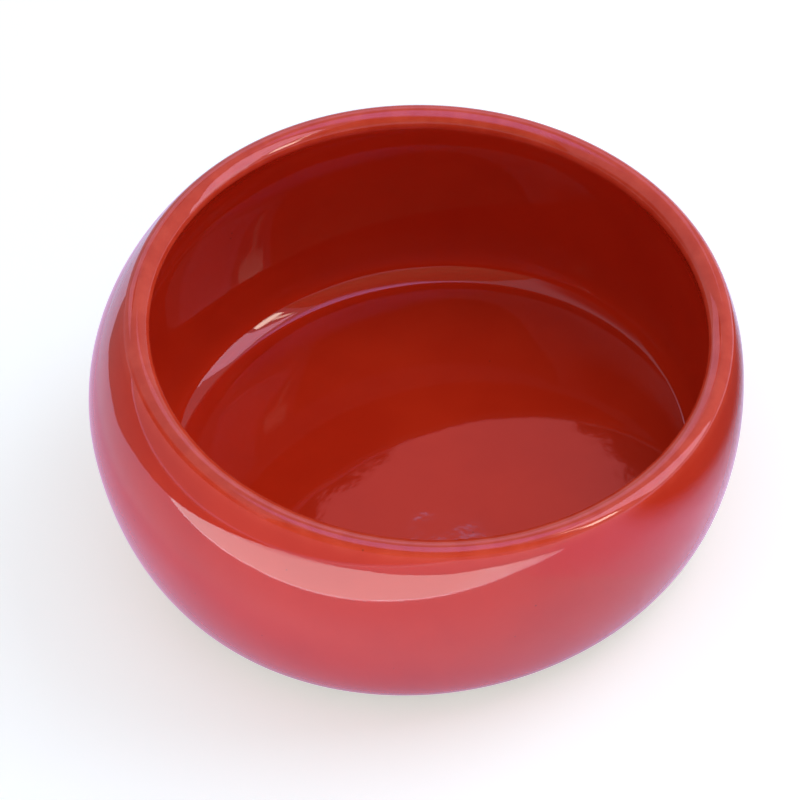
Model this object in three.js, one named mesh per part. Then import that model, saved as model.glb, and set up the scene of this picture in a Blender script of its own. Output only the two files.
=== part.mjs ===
// A stoneware bowl: a squashed ball of clay with a flat floor, whose round mouth leans down
// towards the front. One fired clay body carries three glaze coats that are fused to it: one
// poured inside, one sprayed outside, and a patch under the floor inside the foot ring.
// Millimetres, +Z up, origin on the table at the centre of the foot. The mouth is lowest at -Y.
import * as THREE from "three";

// Driving dimensions, over the finished glaze
const GIRTH_DIAMETER = 150; // widest ring of the outside
const GIRTH_HEIGHT = 36.5; // table to the widest ring
const SHOULDER_RISE = 56; // girth to where the shoulder would close if there were no mouth
const MOUTH_HEIGHT = 60; // table to the lip's crest, on the axis
const MOUTH_LEAN_DEGREES = 8.8; // how far the mouth's plane leans down to the front
const WALL = 6; // thickness of wall and lip, over both glazes
const FLOOR_HEIGHT = 8.5; // table to the inside floor
const FLOOR_FILLET = 4; // radius of the corner between inside wall and floor
const FOOT_DIAMETER = 112; // outside of the bare foot ring
const FOOT_INSET = 5; // ledge between the foot ring and the turn of the underbelly
const FOOT_WIDTH = 6; // flat of the foot ring that stands on the table
const FOOT_HEIGHT = 1.8; // the outside's lowest point above the table
const FOOT_BEVEL = 0.6; // broken edges of the foot ring
const RECESS_HEIGHT = 2.2; // table to the glazed patch under the floor
const RECESS_BARE = 2.5; // bare clay between that patch and the foot ring
const GLAZE = 0.5; // thickness of each coat
const GLAZE_LINE = 2.4; // where the outside coat was wiped back, above the outside's lowest point

// Counts: straight steps that stand for each curve, and halvings in a search
const AZIMUTH_STEPS = 60;
const FILLET_STEPS = 3;
const LOWER_STEPS = 6;
const UPPER_STEPS = 5;
const HALF_LIP_STEPS = 4;
const BARE_STEPS = 2;
const BISECTIONS = 40;

const CLAY = { color: 0xb98c68, roughness: 0.9, metalness: 0 };
const RED_GLAZE = { color: 0xa3210f, roughness: 0.12, metalness: 0 };

const girthRadius = GIRTH_DIAMETER / 2;
const footRadius = FOOT_DIAMETER / 2;
const quarterTurn = Math.PI / 2;

// The outside is two quarter ellipses that meet upright at the girth.
const shoulder = {
  centre: 0,
  reach: girthRadius,
  rise: SHOULDER_RISE,
};
const underbelly = {
  centre: footRadius + FOOT_INSET,
  reach: girthRadius - footRadius - FOOT_INSET,
  rise: GIRTH_HEIGHT - FOOT_HEIGHT,
};

// A point `depth` under the outside, at an angle from the girth: 90 degrees down is the foot, and
// up is the shoulder. The point is in the half plane of radius (x) and height (y).
function underOutside(angle, depth) {
  const arc = angle < 0 ? underbelly : shoulder;
  const normal = outsideNormal(angle);
  return new THREE.Vector2(
    arc.centre + arc.reach * Math.cos(angle),
    GIRTH_HEIGHT + arc.rise * Math.sin(angle),
  ).addScaledVector(normal, -depth);
}

function outsideNormal(angle) {
  const arc = angle < 0 ? underbelly : shoulder;
  return new THREE.Vector2(
    arc.rise * Math.cos(angle),
    arc.reach * Math.sin(angle),
  ).normalize();
}

// The angle between low and high at which a rising measure reaches zero.
function rootBetween(low, high, measure) {
  for (let step = 0; step < BISECTIONS; step++) {
    const middle = (low + high) / 2;
    if (measure(middle) < 0) low = middle;
    else high = middle;
  }
  return (low + high) / 2;
}

// Angle on the outside at which the lip's middle line lies in the mouth's leaning plane.
function mouthAngle(azimuth) {
  const fall = Math.tan(THREE.MathUtils.degToRad(MOUTH_LEAN_DEGREES));
  return rootBetween(-quarterTurn / 2, quarterTurn, (angle) => {
    const middle = underOutside(angle, WALL / 2);
    const plane = MOUTH_HEIGHT - WALL / 2 + fall * middle.x * Math.sin(azimuth);
    return middle.y - plane;
  });
}

// Angle on the outside behind which the fillet touches both the inside wall and the floor.
const filletAngle = rootBetween(
  -quarterTurn,
  0,
  (angle) => underOutside(angle, WALL + FLOOR_FILLET).y - (FLOOR_HEIGHT + FLOOR_FILLET),
);
const glazeLineAngle = Math.asin(GLAZE_LINE / underbelly.rise - 1);

// Evenly spaced numbers from start to end, both included.
function steps(start, end, count) {
  return Array.from({ length: count + 1 }, (_, i) => start + ((end - start) * i) / count);
}

function arcPoints(centre, radius, angles) {
  return angles.map(
    (angle) => new THREE.Vector2(Math.cos(angle), Math.sin(angle)).multiplyScalar(radius).add(centre),
  );
}

// The path inside the bowl at one azimuth, `depth` under the glaze: floor, fillet, wall and half the lip.
function insidePath(azimuth, depth) {
  const fillet = underOutside(filletAngle, WALL + FLOOR_FILLET);
  const mouth = mouthAngle(azimuth);
  const lip = underOutside(mouth, WALL / 2);
  const outward = outsideNormal(mouth).angle();
  const wall = [
    ...steps(filletAngle, 0, LOWER_STEPS).slice(1),
    ...steps(0, mouth, UPPER_STEPS).slice(1),
  ];
  return [
    new THREE.Vector2(0, FLOOR_HEIGHT - depth),
    ...arcPoints(
      fillet,
      FLOOR_FILLET + depth,
      steps(-quarterTurn, outsideNormal(filletAngle).angle() - 2 * Math.PI, FILLET_STEPS),
    ),
    ...wall.map((angle) => underOutside(angle, WALL - depth)),
    ...arcPoints(
      lip,
      WALL / 2 - depth,
      steps(outward + Math.PI, outward + quarterTurn, HALF_LIP_STEPS).slice(1),
    ),
  ];
}

// The path outside the bowl at one azimuth, `depth` under the glaze: half the lip, shoulder and underbelly.
function outsidePath(azimuth, depth) {
  const mouth = mouthAngle(azimuth);
  const lip = underOutside(mouth, WALL / 2);
  const outward = outsideNormal(mouth).angle();
  const wall = [
    ...steps(mouth, 0, UPPER_STEPS).slice(1),
    ...steps(0, glazeLineAngle, LOWER_STEPS).slice(1),
  ];
  return [
    ...arcPoints(lip, WALL / 2 - depth, steps(outward + quarterTurn, outward, HALF_LIP_STEPS)),
    ...wall.map((angle) => underOutside(angle, depth)),
  ];
}

// The bare foot, from the wiped edge of the outside coat to the middle of the recess.
function footPath() {
  const turn = underOutside(-quarterTurn, GLAZE);
  const innerRadius = footRadius - FOOT_WIDTH;
  const ceiling = RECESS_HEIGHT + GLAZE;
  return [
    ...steps(glazeLineAngle, -quarterTurn, BARE_STEPS).map((angle) => underOutside(angle, GLAZE)),
    new THREE.Vector2(footRadius, turn.y),
    new THREE.Vector2(footRadius, FOOT_BEVEL),
    new THREE.Vector2(footRadius - FOOT_BEVEL, 0),
    new THREE.Vector2(innerRadius + FOOT_BEVEL, 0),
    new THREE.Vector2(innerRadius, FOOT_BEVEL),
    new THREE.Vector2(innerRadius, ceiling),
    ...recessPatch(ceiling),
  ];
}

// The underside of the floor at one height, from the edge of its glazed patch to the axis.
function recessPatch(height) {
  return [
    new THREE.Vector2(footRadius - FOOT_WIDTH - RECESS_BARE, height),
    new THREE.Vector2(0, height),
  ];
}

// Turns a path about the axis into triangles. A path may change with azimuth, and its solid lies
// on the right of it, seen in the half plane. Flipped, the same triangles face the other way.
// Where the path touches the axis, triangles with no area are left out.
function sheet(path, flipped = false) {
  const rings = steps(0, 2 * Math.PI, AZIMUTH_STEPS).slice(1).map((azimuth) =>
    path(azimuth).map(
      (point) =>
        new THREE.Vector3(point.x * Math.cos(azimuth), point.x * Math.sin(azimuth), point.y),
    ),
  );
  const corners = [];
  const add = (a, b, c) => {
    if (a.equals(b) || b.equals(c) || c.equals(a)) return;
    corners.push(...(flipped ? [a, c, b] : [a, b, c]));
  };
  for (let j = 0; j < AZIMUTH_STEPS; j++) {
    const ring = rings[j];
    const next = rings[(j + 1) % AZIMUTH_STEPS];
    for (let i = 0; i + 1 < ring.length; i++) {
      add(ring[i], ring[i + 1], next[i + 1]);
      add(ring[i], next[i + 1], next[i]);
    }
  }
  return corners;
}

function solid(name, finish, ...sheets) {
  const geometry = new THREE.BufferGeometry().setFromPoints(sheets.flat());
  geometry.computeVertexNormals();
  const mesh = new THREE.Mesh(geometry, new THREE.MeshStandardMaterial(finish));
  mesh.name = name;
  return mesh;
}

// A coat between its finished face and the clay, along a path that takes azimuth and depth.
function coat(name, path) {
  const face = (azimuth) => path(azimuth, 0);
  const bond = (azimuth) => path(azimuth, GLAZE);
  const edge = (end) => (azimuth) => [face(azimuth).at(end), bond(azimuth).at(end)];
  return solid(name, RED_GLAZE, sheet(face), sheet(edge(-1)), sheet(bond, true), sheet(edge(0), true));
}

const clayBody = solid(
  "clay_body",
  CLAY,
  sheet((azimuth) => insidePath(azimuth, GLAZE)),
  sheet((azimuth) => outsidePath(azimuth, GLAZE)),
  sheet(footPath),
);
const insideGlaze = coat("inside_glaze", insidePath);
const outsideGlaze = coat("outside_glaze", outsidePath);
const recessGlaze = coat("recess_glaze", (_, depth) => recessPatch(RECESS_HEIGHT + depth));

const bowl = new THREE.Group();
bowl.add(clayBody, insideGlaze, outsideGlaze, recessGlaze);

export default bowl;
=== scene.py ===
"""A red-glazed stoneware bowl, dressed around its solids. Metres, +Z up, mouth lowest at -Y."""
import math
from typing import NamedTuple

import bpy
import numpy as np
from mathutils import Matrix, Vector, noise


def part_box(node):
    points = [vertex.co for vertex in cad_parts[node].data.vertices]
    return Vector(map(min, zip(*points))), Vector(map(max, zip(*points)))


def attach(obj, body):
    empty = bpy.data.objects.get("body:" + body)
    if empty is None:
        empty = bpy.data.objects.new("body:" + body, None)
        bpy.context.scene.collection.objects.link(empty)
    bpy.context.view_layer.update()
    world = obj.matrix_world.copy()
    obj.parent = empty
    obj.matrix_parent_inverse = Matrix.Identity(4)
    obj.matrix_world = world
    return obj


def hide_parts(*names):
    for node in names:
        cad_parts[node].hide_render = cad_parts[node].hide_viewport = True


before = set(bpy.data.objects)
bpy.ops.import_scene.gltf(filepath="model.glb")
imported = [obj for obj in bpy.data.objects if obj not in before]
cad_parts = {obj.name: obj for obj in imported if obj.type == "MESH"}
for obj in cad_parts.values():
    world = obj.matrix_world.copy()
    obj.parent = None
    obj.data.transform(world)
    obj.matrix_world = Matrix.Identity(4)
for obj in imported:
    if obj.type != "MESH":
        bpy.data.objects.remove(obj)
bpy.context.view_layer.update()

# Sizes that the solids give
girth_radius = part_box("outside_glaze")[1].x
recess_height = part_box("recess_glaze")[0].z
recess_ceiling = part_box("recess_glaze")[1].z
recess_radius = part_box("recess_glaze")[1].x
glaze_thickness = recess_ceiling - recess_height
floor_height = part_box("inside_glaze")[0].z + glaze_thickness

# Sizes that the solids were drawn with
GIRTH_HEIGHT = 0.0365  # table to the widest ring
SHOULDER_RISE = 0.056  # girth to where the shoulder would close if there were no mouth
MOUTH_HEIGHT = 0.060  # table to the lip's crest, on the axis
MOUTH_LEAN = math.radians(8.8)  # how far the mouth's plane leans down to the front
WALL = 0.006  # thickness of wall and lip, over both glazes
FOOT_RADIUS = 0.056  # outside of the bare foot ring
FOOT_INSET = 0.005  # ledge between the foot ring and the turn of the underbelly
FOOT_WIDTH = 0.006  # from the outside of the foot ring to its inside
FOOT_HEIGHT = 0.0018  # the outside's lowest point above the table
FOOT_ROUND = 0.0006  # rounded edges of the foot ring
GLAZE_LINE = 0.0024  # where the outside coat was wiped back, above the outside's lowest point

# How square the lip's section is on its inner and outer side, where 2 is round
INNER_SQUARENESS = 2.8
OUTER_SQUARENESS = 2.0

# Unevenness of the clay, of the glaze that ran over it and of its wiped edge: height and length of waves
CLAY_WAVE = (0.00008, 0.042)
GLAZE_WAVE = (0.000012, 0.009)
POOL_WAVE = (0.00005, 0.007)
LINE_WAVE = (0.0006, 0.012)

# Glaze near its edges: width of the rounded bead, of the thinner stretch over the lip, which also carries a
# painted sheen, and of the pooled glaze in the cove, which also carries a painted reflection
BEAD = 0.0012
THIN_AND_SHEEN_REACH = 0.005
POOL_AND_REFLECTION_REACH = 0.004

# A painted reflection that turns the pooled glaze a brighter red on one side: its azimuth, how narrowly it
# keeps to that side, and its greatest share
PAINTED_REFLECTION_SIDE = math.radians(25)
PAINTED_REFLECTION_NARROWNESS = 4
PAINTED_REFLECTION_SHARE = 0.8

# The hollow of glaze between wall and floor: its radius, and its slope and round where it meets the floor
COVE_RADIUS = 0.008
COVE_SLOPE = math.radians(28)
COVE_ROUND = 0.0003

# Rows of faces along each stretch of the section, and faces around
AROUND = 240
FLOOR_ROWS = 36
COVE_ROWS = 10
LOWER_ROWS = 22
UPPER_ROWS = 18
HALF_LIP_ROWS = 14
BEAD_ROWS = 6
FOOT_ROWS = 6
ROUND_ROWS = 4
RECESS_ROWS = 16

# Limits: halvings in a search, width of a single point, shortest vector, and sharpest smooth edge
BISECTIONS = 40
POINT_WIDTH = 1e-9
SHORTEST = 1e-15
SMOOTH_ANGLE = math.radians(40)

# The photograph's view: where the camera stands and what it looks at
VIEW_AZIMUTH = math.radians(-65.7)
VIEW_ELEVATION = math.radians(47.0)
VIEW_ROLL = math.radians(-9.1)
VIEW_DISTANCE = 0.828
VIEW_TARGET = Vector((0.0128, 0.0104, 0.0149))
LENS_MM = 157.5
SENSOR_MM = 36.0

# Colours, linear
RED = (0.58, 0.028, 0.007)
RED_DEEP = (0.46, 0.015, 0.004)
# lighter red where the glaze is thinner, raised further to also stand for a painted sheen on the lip
RED_THIN_AND_SHEEN = (0.76, 0.078, 0.036)
# painted reflection: the pooled glaze on one side of the cove turned a brighter red
RED_PAINTED_REFLECTION = (0.85, 0.040, 0.009)
SPECK = (0.10, 0.012, 0.006)
CLAY_BUFF = (0.56, 0.40, 0.27)
CLAY_TOAST = (0.40, 0.24, 0.14)
CLAY_GRIT = (0.20, 0.12, 0.07)
FLOOR_WHITE = (0.82, 0.83, 0.85)
FLOOR_GREY = (0.80, 0.81, 0.83)
FLOOR_LIFT = (0.45, 0.465, 0.42)  # glow that the camera sees
FLOOR_GLOSS = (0.30, 0.33, 0.62)  # glow that a gloss sees

# Patterns of the glaze: their sizes, the values or distances they run between, and what those become
MOTTLE_SIZE = 0.022
MOTTLE_RANGE = (0.35, 0.70)
MOTTLE_SHARE = (0.0, 0.35)
BREAK_SIZE = 0.005
BREAK_RANGE = (0.25, 0.75)
BREAK_SHARE = (0.35, 0.85)
SPECK_SPACING = 0.0042
SPECK_EDGE = (0.03, 0.075)
SPECK_SHARE = (0.5, 0.0)
SPECK_CHANCE = (0.78, 0.80)
SMEAR_SIZE = 0.018
SMEAR_RANGE = (0.35, 0.75)
GLAZE_ROUGHNESS = (0.02, 0.04)
GLAZE_IOR = 1.6
PEEL_SIZE = 0.0016
PEEL_HEIGHT = 0.000002
RIPPLE_SIZE = 0.0045
RIPPLE_HEIGHT = 0.000006

# Patterns of the bare clay and of the floor, in the same way
TOAST_SIZE = 0.012
TOAST_RANGE = (0.30, 0.75)
GRIT_SPACING = 0.0011
GRIT_EDGE = (0.12, 0.30)
GRIT_SHARE = (1.0, 0.0)
GRIT_CHANCE = (0.6, 0.7)
GRIT_HEIGHT = 0.00005
GRAIN_SIZE = 0.002
GRAIN_RANGE = (0.3, 0.7)
CLAY_ROUGHNESS = (0.75, 0.92)
SAND_SIZE = 0.0007
SAND_HEIGHT = 0.00012
FLOOR_TONE_SIZE = 0.3
FLOOR_TONE_RANGE = (0.3, 0.7)


# What describes the stage's lamps and cards
class Direction(NamedTuple):
    """Where a thing faces the bowl from: degrees right of straight away, degrees up, and how far."""

    azimuth: float
    elevation: float
    distance: float


class Softbox(NamedTuple):
    """A soft lamp that faces the bowl."""

    direction: Direction
    size: tuple
    colour: tuple
    radiance: float


class Fade(NamedTuple):
    """How a card fades: its middle, the distances from there that it runs between, and what stays beyond."""

    middle: tuple
    start: float
    end: float
    least: float = 0.0


class Card(NamedTuple):
    """A card for the gloss: its plane, outline there, colour, glow and fade, and if it lights the bowl."""

    plane: float | Direction
    outline: list
    colour: tuple
    glow: float = 0.0
    fade: Fade | None = None
    lights: bool = False


def rectangle(left, right, low, high):
    """An outline between limits of its first and of its second measure."""
    return [(left, low), (right, low), (right, high), (left, high)]


# The room, its floor and its soft lamps
ROOM_COLOUR = (0.88, 0.94, 1.12)
ROOM_STRENGTH = 0.5
FLOOR_HALF = 3.0
KEY = Softbox(
    direction=Direction(azimuth=82, elevation=50, distance=1.2),
    size=(0.8, 0.7),
    colour=(0.80, 0.90, 1.0),
    radiance=2.7,
)
FILL_AZIMUTHS = (80, 140, 200, 260)
FILLS = [
    Softbox(
        direction=Direction(azimuth, elevation=5, distance=1.5),
        size=(1.2, 0.24),
        colour=(1.0, 0.95, 0.95),
        radiance=2.4,
    )
    for azimuth in FILL_AZIMUTHS
]
CEILING = Softbox(
    direction=Direction(azimuth=0, elevation=89.9, distance=1.2),
    size=(1.0, 1.0),
    colour=(0.9, 0.95, 1.0),
    radiance=0.40,
)

# Colours that cards share
NEAR_BLACK = (0.03, 0.03, 0.03)
WARM_WHITE = (1.0, 0.85, 0.72)

# Cards that lie level: height of the plane, and outlines to the right and away as the camera sees them
LEVEL_CARDS = {
    "wedge": Card(
        plane=0.002,
        outline=[
            (0.12, -0.19), (0.06, -0.20), (-0.05, -0.165), (-0.17, -0.14), (-0.25, -0.105), (-0.37, -0.04),
            (-0.75, -0.40), (-1.15, -1.0), (-0.60, -0.83), (-0.26, -0.62), (-0.03, -0.39), (0.07, -0.31),
            (0.11, -0.235),
        ],
        colour=(0.92, 0.95, 1.0),
        glow=3.2,
        fade=Fade(middle=(-0.25, -0.35), start=0.28, end=0.40, least=0.4),
        lights=True,
    ),
    "left_floor": Card(
        plane=0.003,
        outline=[
            (-0.18, 0.135), (-0.225, 0.105), (-0.24, 0.075), (-0.30, 0.045), (-0.37, -0.04), (-0.75, -0.40),
            (-1.2, -1.0), (-1.6, -1.0), (-1.6, 0.9), (-0.30, 0.9),
        ],
        colour=(0.36, 0.36, 0.36),
    ),
    "right_floor": Card(
        plane=0.003,
        outline=rectangle(left=0.03, right=0.38, low=-0.17, high=0.17),
        colour=(0.10, 0.10, 0.10),
        fade=Fade(middle=(0.205, -0.015), start=0.100, end=0.136),
    ),
    "right_tint": Card(
        plane=0.001,
        outline=rectangle(left=0.06, right=0.42, low=-0.34, high=0.06),
        colour=(1.0, 0.53, 0.86),
        glow=0.6,
        fade=Fade(middle=(0.19, -0.12), start=0.09, end=0.17),
    ),
    # a sheet seen only in reflections: painted shade of the floor around the foot
    "painted_foot_shade": Card(
        plane=0.0015,
        outline=rectangle(left=-0.15, right=0.15, low=-0.15, high=0.15),
        colour=(0.55, 0.42, 0.62),
        glow=0.9,
        fade=Fade(middle=(-0.03, 0.03), start=0.098, end=0.122),
    ),
    "overhead": Card(
        plane=1.2,
        outline=rectangle(left=-0.35, right=0.8, low=-0.6, high=0.6),
        colour=(0.62, 0.46, 1.0),
        glow=1.25,
        fade=Fade(middle=(0.22, 0.0), start=0.35, end=0.56),
    ),
}

# Cards that stand across the view: how far away the plane is, and outlines to the right and up
CROSS_CARDS = {
    "back": Card(
        plane=-0.95,
        outline=rectangle(left=-1.3, right=1.0, low=0.45, high=3.5),
        colour=(0.50, 0.33, 0.18),
    ),
    "far_left": Card(
        plane=1.5,
        outline=[
            (-0.03, 1.55), (-0.03, 1.58), (-0.08, 1.605), (-0.095, 1.635), (-0.11, 1.75), (-0.4, 1.75),
            (-0.4, 1.55),
        ],
        colour=NEAR_BLACK,
    ),
    "far_right": Card(
        plane=1.5,
        outline=[
            (0.13, 1.55), (0.13, 1.585), (0.15, 1.605), (0.17, 1.64), (0.19, 1.75), (0.3, 1.75), (0.3, 1.55),
        ],
        colour=NEAR_BLACK,
    ),
    "far_wall": Card(
        plane=1.52,
        outline=rectangle(left=-0.15, right=0.22, low=1.54, high=1.74),
        colour=(1.0, 0.27, 0.28),
        glow=1.0,
    ),
    "far_sky": Card(
        plane=2.0,
        outline=rectangle(left=-1.4, right=1.4, low=0.9, high=2.3),
        colour=(0.90, 0.72, 1.0),
        glow=0.75,
    ),
    "far_spot": Card(
        plane=1.49,
        outline=[
            (-0.022, 1.685), (-0.012, 1.675), (0.028, 1.68), (0.037, 1.69), (0.03, 1.71), (-0.015, 1.71),
        ],
        colour=(0.62, 0.62, 1.0),
        glow=1.4,
    ),
}

# Cards that stand along the view: how far right the plane is, and outlines away and up
SIDE_CARDS = {
    "left": Card(
        plane=-1.0,
        outline=rectangle(left=-0.8, right=0.8, low=0.36, high=2.6),
        colour=(0.06, 0.06, 0.06),
        fade=Fade(middle=(0.0, 0.6), start=0.3, end=0.85),
    ),
}

# Cards that face the bowl: direction of the plane, and outlines about its middle
FACING_CARDS = {
    "panel": Card(
        plane=Direction(azimuth=99.5, elevation=44, distance=0.541),
        outline=rectangle(left=-0.12, right=0.12, low=-0.145, high=0.145),
        colour=(0.95, 0.64, 0.86),
        glow=2.5,
    ),
    "low_panel": Card(
        plane=Direction(azimuth=99, elevation=20, distance=0.6),
        outline=rectangle(left=-0.145, right=0.145, low=-0.10, high=0.10),
        colour=(0.95, 0.72, 0.90),
        glow=2.5,
    ),
    "lamp": Card(
        plane=Direction(azimuth=124.5, elevation=26.5, distance=1.2),
        outline=rectangle(left=-0.10, right=0.10, low=-0.20, high=0.20),
        colour=WARM_WHITE,
        glow=9.5,
        fade=Fade(middle=(0.0, 0.0), start=0.08, end=0.20),
    ),
    "slit": Card(
        plane=Direction(azimuth=126, elevation=40, distance=1.2),
        outline=rectangle(left=-0.02, right=0.02, low=-0.24, high=0.24),
        colour=WARM_WHITE,
        glow=5.0,
        fade=Fade(middle=(0.0, 0.0), start=0.08, end=0.24),
    ),
}

# What follows from these sizes
QUARTER = math.pi / 2
azimuths = np.linspace(0, 2 * math.pi, AROUND, endpoint=False)
base_radius = FOOT_RADIUS + FOOT_INSET
belly_drop = GIRTH_HEIGHT - FOOT_HEIGHT


# Section of the bowl, as points (radius, height) in rows that run round the axis
def outside_curve(angle):
    """Points and outward normals of the outside at angles above or below the girth."""
    below = angle < 0
    centre = np.where(below, base_radius, 0)
    reach = np.where(below, girth_radius - base_radius, girth_radius)
    rise = np.where(below, belly_drop, SHOULDER_RISE)
    point = np.stack([centre + reach * np.cos(angle), GIRTH_HEIGHT + rise * np.sin(angle)], -1)
    normal = np.stack([rise * np.cos(angle), reach * np.sin(angle)], -1)
    return point, normal / np.linalg.norm(normal, axis=-1, keepdims=True)


def under_outside(angle, depth):
    point, normal = outside_curve(angle)
    return point - depth * normal


def root_between(low, high, measure):
    """Where a rising measure reaches zero, for arrays of limits."""
    for _ in range(BISECTIONS):
        middle = (low + high) / 2
        short = measure(middle) < 0
        low = np.where(short, middle, low)
        high = np.where(short, high, middle)
    return (low + high) / 2


def above_mouth(angle):
    """How far the lip's middle line is above the mouth's leaning plane, at each azimuth."""
    middle = under_outside(angle, WALL / 2)
    plane = MOUTH_HEIGHT - WALL / 2 + math.tan(MOUTH_LEAN) * middle[..., 0] * np.sin(azimuths)
    return middle[..., 1] - plane


def above_cove(angle):
    """How far a middle that lies behind the wall at an angle is above the cove's own middle."""
    middle = under_outside(angle, WALL + COVE_RADIUS)
    return middle[..., 1] - floor_height - COVE_RADIUS * math.cos(COVE_SLOPE)


mouth_angle = root_between(np.full(AROUND, -QUARTER / 2), np.full(AROUND, QUARTER), above_mouth)
cove_angle = root_between(np.array(-QUARTER), np.array(0.0), above_cove)


def wiped_angle():
    """Angle on the outside where the coat was wiped back, which wavers around the bowl."""
    height, length = LINE_WAVE
    circle = [Vector((math.cos(a), math.sin(a), 0)) * base_radius / length for a in azimuths]
    waver = height * np.array([noise.noise(place) for place in circle])
    return np.arcsin((GLAZE_LINE + waver) / belly_drop - 1)


wiped = wiped_angle()
bead_start = np.arcsin(np.sin(wiped) + BEAD / belly_drop)


def between(start, end, count):
    """Rows of values after start, up to end. Either may differ around the bowl."""
    share = np.linspace(0, 1, count + 1)[1:, None]
    return start + (end - start) * share * np.ones(AROUND)


def ring(radius, height):
    return np.tile((radius, height), (1, AROUND, 1))


def floor_rows(outer_radius, height):
    radius = np.concatenate([np.zeros((1, AROUND)), between(0, outer_radius - COVE_ROUND, FLOOR_ROWS)])
    return np.concatenate([np.stack([radius, np.full_like(radius, height)], -1), ring(outer_radius, height)])


def arc_rows(centre, radius, angle):
    return centre + radius * np.stack([np.cos(angle), np.sin(angle)], -1)


def lip_rows(depth):
    """The lip from the inside over its crest to the outside: squarish as far as the crest, then round."""
    normal = outside_curve(mouth_angle)[1]
    outward = np.arctan2(normal[..., 1], normal[..., 0])
    turn = between(math.pi, 0, 2 * HALF_LIP_ROWS)
    power = np.where(turn > QUARTER, INNER_SQUARENESS, OUTER_SQUARENESS)
    fullness = (np.abs(np.cos(turn)) ** power + np.abs(np.sin(turn)) ** power) ** (-1 / power)
    radius = (WALL / 2 - depth) * fullness[..., None]
    return arc_rows(under_outside(mouth_angle, WALL / 2), radius, outward + turn)


def bead_rows(depth):
    """The outside coat's rounded lower edge, from its full thickness down to the clay."""
    share = np.sin(between(0, QUARTER, BEAD_ROWS))
    sunk = glaze_thickness * (1 - np.sqrt(np.maximum(1 - share ** 2, 0)))
    return under_outside(bead_start + (wiped - bead_start) * share, np.maximum(sunk, depth)[..., None])


def skin_section(depth):
    """The bowl `depth` under its finished glaze, in rows from the middle of the floor to the wiped edge."""
    cove = under_outside(cove_angle, WALL + COVE_RADIUS)
    cove_normal = outside_curve(cove_angle)[1]
    cove_start = -math.asin((cove[1] - floor_height + depth) / (COVE_RADIUS + depth))
    cove_end = math.atan2(cove_normal[1], cove_normal[0])
    floor_radius = cove[0] + (COVE_RADIUS + depth) * math.cos(cove_start)
    return np.concatenate([
        floor_rows(floor_radius, floor_height - depth),
        arc_rows(cove, COVE_RADIUS + depth, between(cove_start, cove_end, COVE_ROWS)),
        under_outside(between(cove_angle, 0, LOWER_ROWS), WALL - depth),
        under_outside(between(0, mouth_angle, UPPER_ROWS), WALL - depth),
        lip_rows(depth),
        under_outside(between(mouth_angle, 0, UPPER_ROWS), depth),
        under_outside(between(0, bead_start, LOWER_ROWS), depth),
        bead_rows(depth),
    ])


# Rows of that section: the middle of the cove, and the crest of the lip
COVE_ROW = FLOOR_ROWS + 1 + COVE_ROWS // 2
CREST_ROW = FLOOR_ROWS + 1 + COVE_ROWS + LOWER_ROWS + UPPER_ROWS + HALF_LIP_ROWS


def foot_section():
    """Bare clay from the coat's bead round the foot ring to the middle of the recess."""
    inner_radius = FOOT_RADIUS - FOOT_WIDTH
    outer_round = (FOOT_RADIUS - FOOT_ROUND, FOOT_ROUND)
    inner_round = (inner_radius + FOOT_ROUND, FOOT_ROUND)
    return np.concatenate([
        under_outside(between(bead_start, -QUARTER, FOOT_ROWS), glaze_thickness),
        ring(FOOT_RADIUS, FOOT_HEIGHT + glaze_thickness),
        arc_rows(outer_round, FOOT_ROUND, between(QUARTER / ROUND_ROWS, -QUARTER, ROUND_ROWS + 1)),
        arc_rows(inner_round, FOOT_ROUND, between(-QUARTER, -2 * QUARTER, ROUND_ROWS)),
        ring(inner_radius, recess_ceiling),
        ring(recess_radius, recess_ceiling),
        ring(0, recess_ceiling),
    ])


def recess_section():
    """The glazed patch under the floor: its face on the clay, its rounded edge and its lower face."""
    edge = (recess_radius - glaze_thickness, recess_ceiling)
    lower = between(edge[0], 0, RECESS_ROWS)
    return np.concatenate([
        ring(0, recess_ceiling),
        ring(recess_radius, recess_ceiling),
        arc_rows(edge, glaze_thickness, between(0, -QUARTER, ROUND_ROWS)),
        np.stack([lower, np.full_like(lower, recess_height)], -1),
    ])


def along(section):
    """Distance along the section from its first row."""
    step = np.linalg.norm(np.diff(section, axis=0), axis=-1)
    return np.concatenate([np.zeros((1, AROUND)), np.cumsum(step, axis=0)])


def near(distance, reach, sharpness=2):
    """One at no distance, falling past the reach to nothing. The sharper, the flatter before the reach."""
    return np.exp(-(distance / reach) ** sharpness)


def turned(section):
    """Section rows carried round the axis to points in space."""
    radius, height = section[..., 0], section[..., 1]
    return np.stack([radius * np.cos(azimuths), radius * np.sin(azimuths), height], -1)


def waves(points, height, length):
    places = points.reshape(-1, 3) / length
    return height * np.array([noise.noise(Vector(place)) for place in places]).reshape(points.shape[:-1])


def surface_normals(points):
    """Normals of a surface given as rows of points, from the neighbours along and around."""
    lengthwise = np.gradient(points, axis=0)
    around = np.roll(points, -1, axis=1) - np.roll(points, 1, axis=1)
    normal = np.cross(lengthwise, around)
    return normal / np.maximum(np.linalg.norm(normal, axis=-1, keepdims=True), SHORTEST)


# Meshes
def on_axis(row):
    return np.ptp(row, axis=0).max() < POINT_WIDTH


def on_points(rows, values):
    """Values for the points of a turned mesh, where a row on the axis is one point."""
    return np.concatenate([value[:1] if on_axis(row) else value for row, value in zip(rows, values)])


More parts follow.
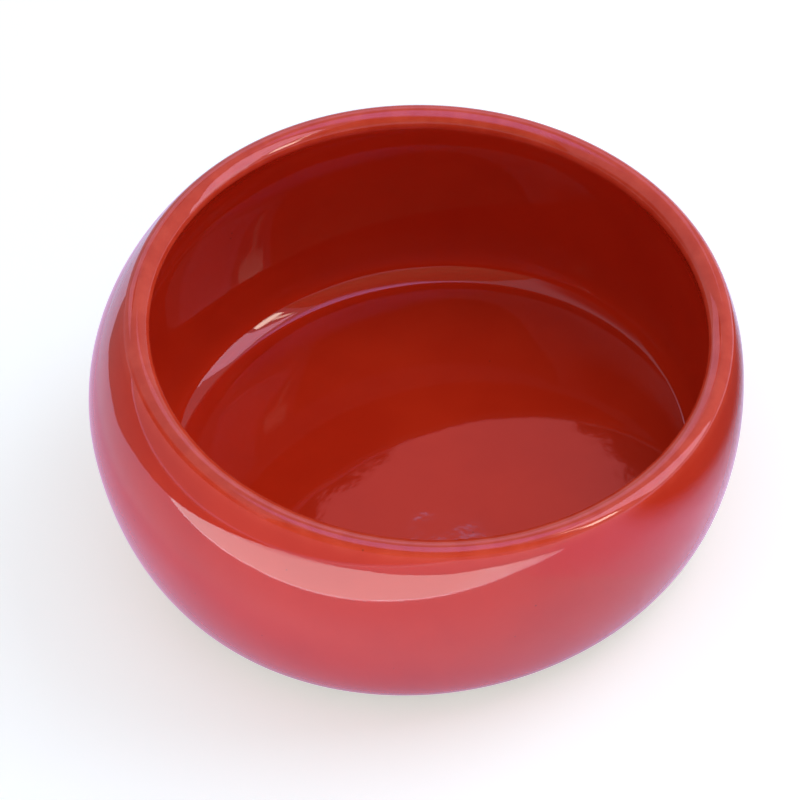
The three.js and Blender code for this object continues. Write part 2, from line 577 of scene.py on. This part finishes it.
def turned_mesh(name, rows, wrapped=False):
    """A smooth mesh of rows of points that run round the axis. Wrapped, the last row joins the first."""
    counts = [1 if on_axis(row) else AROUND for row in rows]
    starts = np.cumsum([0] + counts[:-1])
    rings = [start + np.arange(AROUND) % count for start, count in zip(starts, counts)]
    if wrapped:
        rings.append(rings[0])
    faces = []
    for this, other in zip(rings, rings[1:]):
        quads = np.stack([this, other, np.roll(other, -1), np.roll(this, -1)], -1).tolist()
        faces.extend(list(dict.fromkeys(quad)) for quad in quads)
    mesh = bpy.data.meshes.new(name)
    mesh.from_pydata(on_points(rows, rows).tolist(), [], faces)
    mesh.polygons.foreach_set("use_smooth", [True] * len(mesh.polygons))
    return mesh


def coat_mesh(name, face, normals, values, bond, wrapped):
    """A glaze coat: its finished face with normals and other values, then its face on the clay."""
    rows = list(face) + list(bond[::-1])
    mesh = turned_mesh(name, rows, wrapped)
    hidden = np.zeros_like(bond)
    mesh.normals_split_custom_set_from_vertices(on_points(rows, list(normals) + list(hidden)).tolist())
    for label, shares in values.items():
        layer = mesh.attributes.new(label, "FLOAT", "POINT")
        layer.data.foreach_set("value", on_points(rows, list(shares) + list(hidden[..., 0])))
    return mesh


def add_piece(mesh, material, node):
    mesh.materials.append(material)
    piece = bpy.data.objects.new(mesh.name, mesh)
    bpy.context.scene.collection.objects.link(piece)
    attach(piece, "root")
    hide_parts(node)


# Materials
class Nodes:
    """A material's node tree, with short ways to add and join nodes."""

    def __init__(self, name):
        self.material = bpy.data.materials.new(name)
        self.material.use_nodes = True
        self.tree = self.material.node_tree
        self.shader = self.tree.nodes["Principled BSDF"].inputs
        self.place = self.add("ShaderNodeTexCoord").outputs["Object"]

    def add(self, kind, **settings):
        node = self.tree.nodes.new(kind)
        for setting, value in settings.items():
            setattr(node, setting, value)
        return node

    def feed(self, socket, value):
        """Joins a socket to another, or sets its number or colour."""
        if isinstance(value, bpy.types.NodeSocket):
            self.tree.links.new(value, socket)
        elif isinstance(value, tuple):
            socket.default_value = (*value, 1)
        else:
            socket.default_value = value

    def make_dull(self):
        """Takes the shader's gloss away."""
        self.feed(self.shader["Roughness"], 1.0)
        self.feed(self.shader["Specular IOR Level"], 0.0)

    def clouds(self, size, detail=2.0, roughness=0.5):
        node = self.add("ShaderNodeTexNoise")
        self.feed(node.inputs["Vector"], self.place)
        self.feed(node.inputs["Scale"], 1 / size)
        self.feed(node.inputs["Detail"], detail)
        self.feed(node.inputs["Roughness"], roughness)
        return node.outputs["Fac"]

    def cells(self, spacing):
        """Distance from scattered points, as a share of their spacing, and a chance for each point."""
        node = self.add("ShaderNodeTexVoronoi")
        self.feed(node.inputs["Vector"], self.place)
        self.feed(node.inputs["Scale"], 1 / spacing)
        return node.outputs["Distance"], node.outputs["Color"]

    def ramp(self, value, limits, results=(0.0, 1.0)):
        """A smooth step from the first result to the second while a value runs between two limits."""
        node = self.add("ShaderNodeMapRange", interpolation_type="SMOOTHSTEP")
        for socket, number in zip(node.inputs, (value, *limits, *results)):
            self.feed(socket, number)
        return node.outputs["Result"]

    def apart(self, place):
        """Distance from a place in the object's own frame."""
        node = self.add("ShaderNodeVectorMath", operation="DISTANCE")
        self.feed(node.inputs[0], self.place)
        self.feed(node.inputs[1], place)
        return node.outputs["Value"]

    def math(self, operation, first, second):
        node = self.add("ShaderNodeMath", operation=operation)
        self.feed(node.inputs[0], first)
        self.feed(node.inputs[1], second)
        return node.outputs["Value"]

    def mix(self, share, first, second):
        node = self.add("ShaderNodeMixRGB")
        for socket, value in zip(node.inputs, (share, first, second)):
            self.feed(socket, value)
        return node.outputs["Color"]

    def attribute(self, label):
        return self.add("ShaderNodeAttribute", attribute_name=label).outputs["Fac"]

    def bump(self, height, distance, under=None):
        node = self.add("ShaderNodeBump")
        self.feed(node.inputs["Height"], height)
        self.feed(node.inputs["Distance"], distance)
        if under:
            self.feed(node.inputs["Normal"], under)
        return node.outputs["Normal"]


def glaze_material():
    """Mottled red glaze, brighter where a reflection is painted on the pooled glaze, lighter where it is
    thinner and where a sheen is painted on the lip, and with a few dark specks.
    """
    nodes = Nodes("red_glaze")
    mottle = nodes.ramp(nodes.clouds(MOTTLE_SIZE, detail=4), MOTTLE_RANGE, MOTTLE_SHARE)
    colour = nodes.mix(mottle, RED, RED_DEEP)
    # painted reflection: a brighter red on one side of the pooled glaze
    colour = nodes.mix(nodes.math("MULTIPLY", nodes.attribute("pool_and_reflection"), PAINTED_REFLECTION_SHARE), colour, RED_PAINTED_REFLECTION)
    breaks = nodes.ramp(nodes.clouds(BREAK_SIZE, detail=3), BREAK_RANGE, BREAK_SHARE)
    # lighter where the glaze is thinner, and partly a painted sheen on the lip
    colour = nodes.mix(nodes.math("MULTIPLY", nodes.attribute("thin_and_sheen"), breaks), colour, RED_THIN_AND_SHEEN)
    distance, chance = nodes.cells(SPECK_SPACING)
    spots = nodes.ramp(distance, SPECK_EDGE, SPECK_SHARE)
    speck = nodes.math("MULTIPLY", spots, nodes.ramp(chance, SPECK_CHANCE))
    nodes.feed(nodes.shader["Base Color"], nodes.mix(speck, colour, SPECK))
    smears = nodes.clouds(SMEAR_SIZE, detail=5, roughness=0.6)
    nodes.feed(nodes.shader["Roughness"], nodes.ramp(smears, SMEAR_RANGE, GLAZE_ROUGHNESS))
    nodes.feed(nodes.shader["IOR"], GLAZE_IOR)
    peel = nodes.bump(nodes.clouds(PEEL_SIZE), PEEL_HEIGHT)
    nodes.feed(nodes.shader["Normal"], nodes.bump(nodes.clouds(RIPPLE_SIZE), RIPPLE_HEIGHT, peel))
    return nodes.material


def clay_material():
    """Bare buff clay, toasted in places, sandy and with dark grit."""
    nodes = Nodes("stoneware")
    toast = nodes.ramp(nodes.clouds(TOAST_SIZE, detail=5), TOAST_RANGE)
    colour = nodes.mix(toast, CLAY_BUFF, CLAY_TOAST)
    distance, chance = nodes.cells(GRIT_SPACING)
    spots = nodes.ramp(distance, GRIT_EDGE, GRIT_SHARE)
    grit = nodes.math("MULTIPLY", spots, nodes.ramp(chance, GRIT_CHANCE))
    nodes.feed(nodes.shader["Base Color"], nodes.mix(grit, colour, CLAY_GRIT))
    nodes.feed(nodes.shader["Roughness"], nodes.ramp(nodes.clouds(GRAIN_SIZE), GRAIN_RANGE, CLAY_ROUGHNESS))
    sand = nodes.bump(nodes.clouds(SAND_SIZE, detail=4, roughness=0.65), SAND_HEIGHT)
    nodes.feed(nodes.shader["Normal"], nodes.bump(grit, GRIT_HEIGHT, sand))
    return nodes.material


def floor_material():
    """White paper that stays white where the camera or a gloss sees it, and still takes shadows."""
    nodes = Nodes("floor")
    tone = nodes.ramp(nodes.clouds(FLOOR_TONE_SIZE), FLOOR_TONE_RANGE)
    nodes.feed(nodes.shader["Base Color"], nodes.mix(tone, FLOOR_GREY, FLOOR_WHITE))
    nodes.make_dull()
    path = nodes.add("ShaderNodeLightPath").outputs
    seen = nodes.math("ADD", path["Is Camera Ray"], path["Is Glossy Ray"])
    seen = nodes.math("ADD", seen, path["Is Transmission Ray"])
    nodes.feed(nodes.shader["Emission Color"], nodes.mix(path["Is Glossy Ray"], FLOOR_LIFT, FLOOR_GLOSS))
    nodes.feed(nodes.shader["Emission Strength"], seen)
    return nodes.material


def card_material(card, fade_middle):
    """A card's paper, dark or glowing. It glows less where one gloss shows it by way of another."""
    nodes = Nodes("card")
    nodes.feed(nodes.shader["Base Color"], card.colour)
    nodes.make_dull()
    nodes.feed(nodes.shader["Emission Color"], card.colour)
    depth = nodes.math("MAXIMUM", nodes.add("ShaderNodeLightPath").outputs["Glossy Depth"], 1.0)
    glow = nodes.math("DIVIDE", card.glow, nodes.math("MULTIPLY", depth, depth))
    nodes.feed(nodes.shader["Emission Strength"], glow)
    if card.fade:
        distance = nodes.apart(fade_middle)
        shown = nodes.ramp(distance, (card.fade.start, card.fade.end), (1.0, card.fade.least))
        nodes.feed(nodes.shader["Alpha"], shown)
    return nodes.material


# The bowl's pieces
glaze = glaze_material()
clay = clay_material()
bond_section = skin_section(glaze_thickness)
face_section = skin_section(0)
bond = turned(bond_section)
face = turned(face_section)

travel = along(face_section)
from_crest = np.abs(travel - travel[CREST_ROW])
from_edge = travel[-1] - travel
from_cove = np.abs(travel - travel[COVE_ROW])
# the pooled glaze in the cove: its ripples are real, and it also carries the painted reflection
pool_and_reflection = near(from_cove, POOL_AND_REFLECTION_REACH)
lift = waves(face, *CLAY_WAVE) + waves(face, *GLAZE_WAVE) + pool_and_reflection * waves(face, *POOL_WAVE)
face = face + surface_normals(face) * (lift * np.minimum(from_edge / BEAD, 1))[..., None]
normals = surface_normals(face)
normals[0] = (0, 0, 1)
glaze_values = {
    # thinner glaze over the crest, which also carries a painted sheen, and at the wiped edge
    "thin_and_sheen": near(from_crest, THIN_AND_SHEEN_REACH, sharpness=4) + near(from_edge, BEAD, sharpness=1),
    # mask of the painted reflection: the pooled glaze, kept to one side
    "pool_and_reflection": pool_and_reflection * (0.5 + 0.5 * np.cos(azimuths - PAINTED_REFLECTION_SIDE)) ** PAINTED_REFLECTION_NARROWNESS,
}


def add_coat(name, node, face_rows, bond_rows, wrapped):
    """A coat over some rows of the bowl's skin."""
    values = {label: shares[face_rows] for label, shares in glaze_values.items()}
    mesh = coat_mesh(name, face[face_rows], normals[face_rows], values, bond[bond_rows], wrapped)
    add_piece(mesh, glaze, node)


add_coat("inside_coat", "inside_glaze", slice(CREST_ROW + 1), slice(CREST_ROW + 1), wrapped=False)
add_coat("outside_coat", "outside_glaze", slice(CREST_ROW, None), slice(CREST_ROW, -1), wrapped=True)
body = turned_mesh("bare_body", turned(np.concatenate([bond_section[:-BEAD_ROWS], foot_section()])))
body.set_sharp_from_angle(angle=SMOOTH_ANGLE)
add_piece(body, clay, "clay_body")
patch = turned_mesh("recess_coat", turned(recess_section()))
add_piece(patch, glaze, "recess_glaze")


# Stage
def seen_place(right, away, up):
    """A place as the camera sees it: to the right, away and up from the middle of the foot."""
    across = Vector((math.cos(VIEW_AZIMUTH), math.sin(VIEW_AZIMUTH), 0))
    deep = Vector((-math.sin(VIEW_AZIMUTH), math.cos(VIEW_AZIMUTH), 0))
    return across * right + deep * away + Vector((0, 0, up))


def add_to_scene(name, data):
    thing = bpy.data.objects.new(name, data)
    bpy.context.scene.collection.objects.link(thing)
    return thing


def aimed(place, target):
    return Matrix.Translation(place) @ (target - place).to_track_quat("-Z", "Y").to_matrix().to_4x4()


def facing(direction):
    """A frame that looks at the bowl from a direction."""
    azimuth = math.radians(direction.azimuth)
    elevation = math.radians(direction.elevation)
    level = math.cos(elevation)
    place = seen_place(math.sin(azimuth) * level, math.cos(azimuth) * level, math.sin(elevation))
    return aimed(direction.distance * place, Vector((0, 0, 0)))


def add_camera():
    data = bpy.data.cameras.new("camera")
    data.lens = LENS_MM
    data.sensor_width = SENSOR_MM
    camera = add_to_scene("camera", data)
    place = VIEW_DISTANCE * seen_place(0, -math.cos(VIEW_ELEVATION), math.sin(VIEW_ELEVATION))
    camera.matrix_world = aimed(place, VIEW_TARGET) @ Matrix.Rotation(VIEW_ROLL, 4, "Z")
    bpy.context.scene.camera = camera


def add_room():
    world = bpy.data.worlds.new("room")
    bpy.context.scene.world = world
    world.use_nodes = True
    background = world.node_tree.nodes["Background"].inputs
    background["Color"].default_value = (*ROOM_COLOUR, 1)
    background["Strength"].default_value = ROOM_STRENGTH


def add_sheet(name, corners, material):
    mesh = bpy.data.meshes.new(name)
    mesh.from_pydata(corners, [], [range(len(corners))])
    mesh.materials.append(material)
    sheet = add_to_scene(name, mesh)
    return sheet


# Where a point of a card's outline is in space, for each kind of card
def on_level(card, right, away):
    return seen_place(right, away, card.plane)


def across_view(card, right, up):
    return seen_place(right, card.plane, up)


def along_view(card, away, up):
    return seen_place(card.plane, away, up)


def facing_bowl(card, right, up):
    return facing(card.plane) @ Vector((right, up, 0))


def add_card(name, card, in_space):
    """A card that shows in the gloss, and lights the bowl only if it says so."""
    corners = [in_space(card, *point) for point in card.outline]
    fade_middle = in_space(card, *card.fade.middle) if card.fade else None
    sheet = add_sheet(name, corners, card_material(card, fade_middle))
    sheet.visible_camera = False
    sheet.visible_shadow = False
    sheet.visible_diffuse = card.lights


def add_softbox(name, box):
    """A soft rectangular lamp that lights the bowl and isn't seen in it."""
    data = bpy.data.lights.new(name, "AREA")
    data.shape = "RECTANGLE"
    data.size, data.size_y = box.size
    data.color = box.colour
    data.energy = box.radiance * math.pi * data.size * data.size_y
    lamp = add_to_scene(name, data)
    lamp.matrix_world = facing(box.direction)
    lamp.visible_camera = False
    lamp.visible_glossy = False


add_camera()
add_room()
floor_corners = rectangle(-FLOOR_HALF, FLOOR_HALF, -FLOOR_HALF, FLOOR_HALF)
add_sheet("floor", [(*corner, 0) for corner in floor_corners], floor_material())
for name, card in LEVEL_CARDS.items():
    add_card(name, card, on_level)
for name, card in CROSS_CARDS.items():
    add_card(name, card, across_view)
for name, card in SIDE_CARDS.items():
    add_card(name, card, along_view)
for name, card in FACING_CARDS.items():
    add_card(name, card, facing_bowl)
add_softbox("key", KEY)
for fill in FILLS:
    add_softbox("fill", fill)
add_softbox("ceiling", CEILING)
bpy.context.scene.view_settings.view_transform = "Standard"
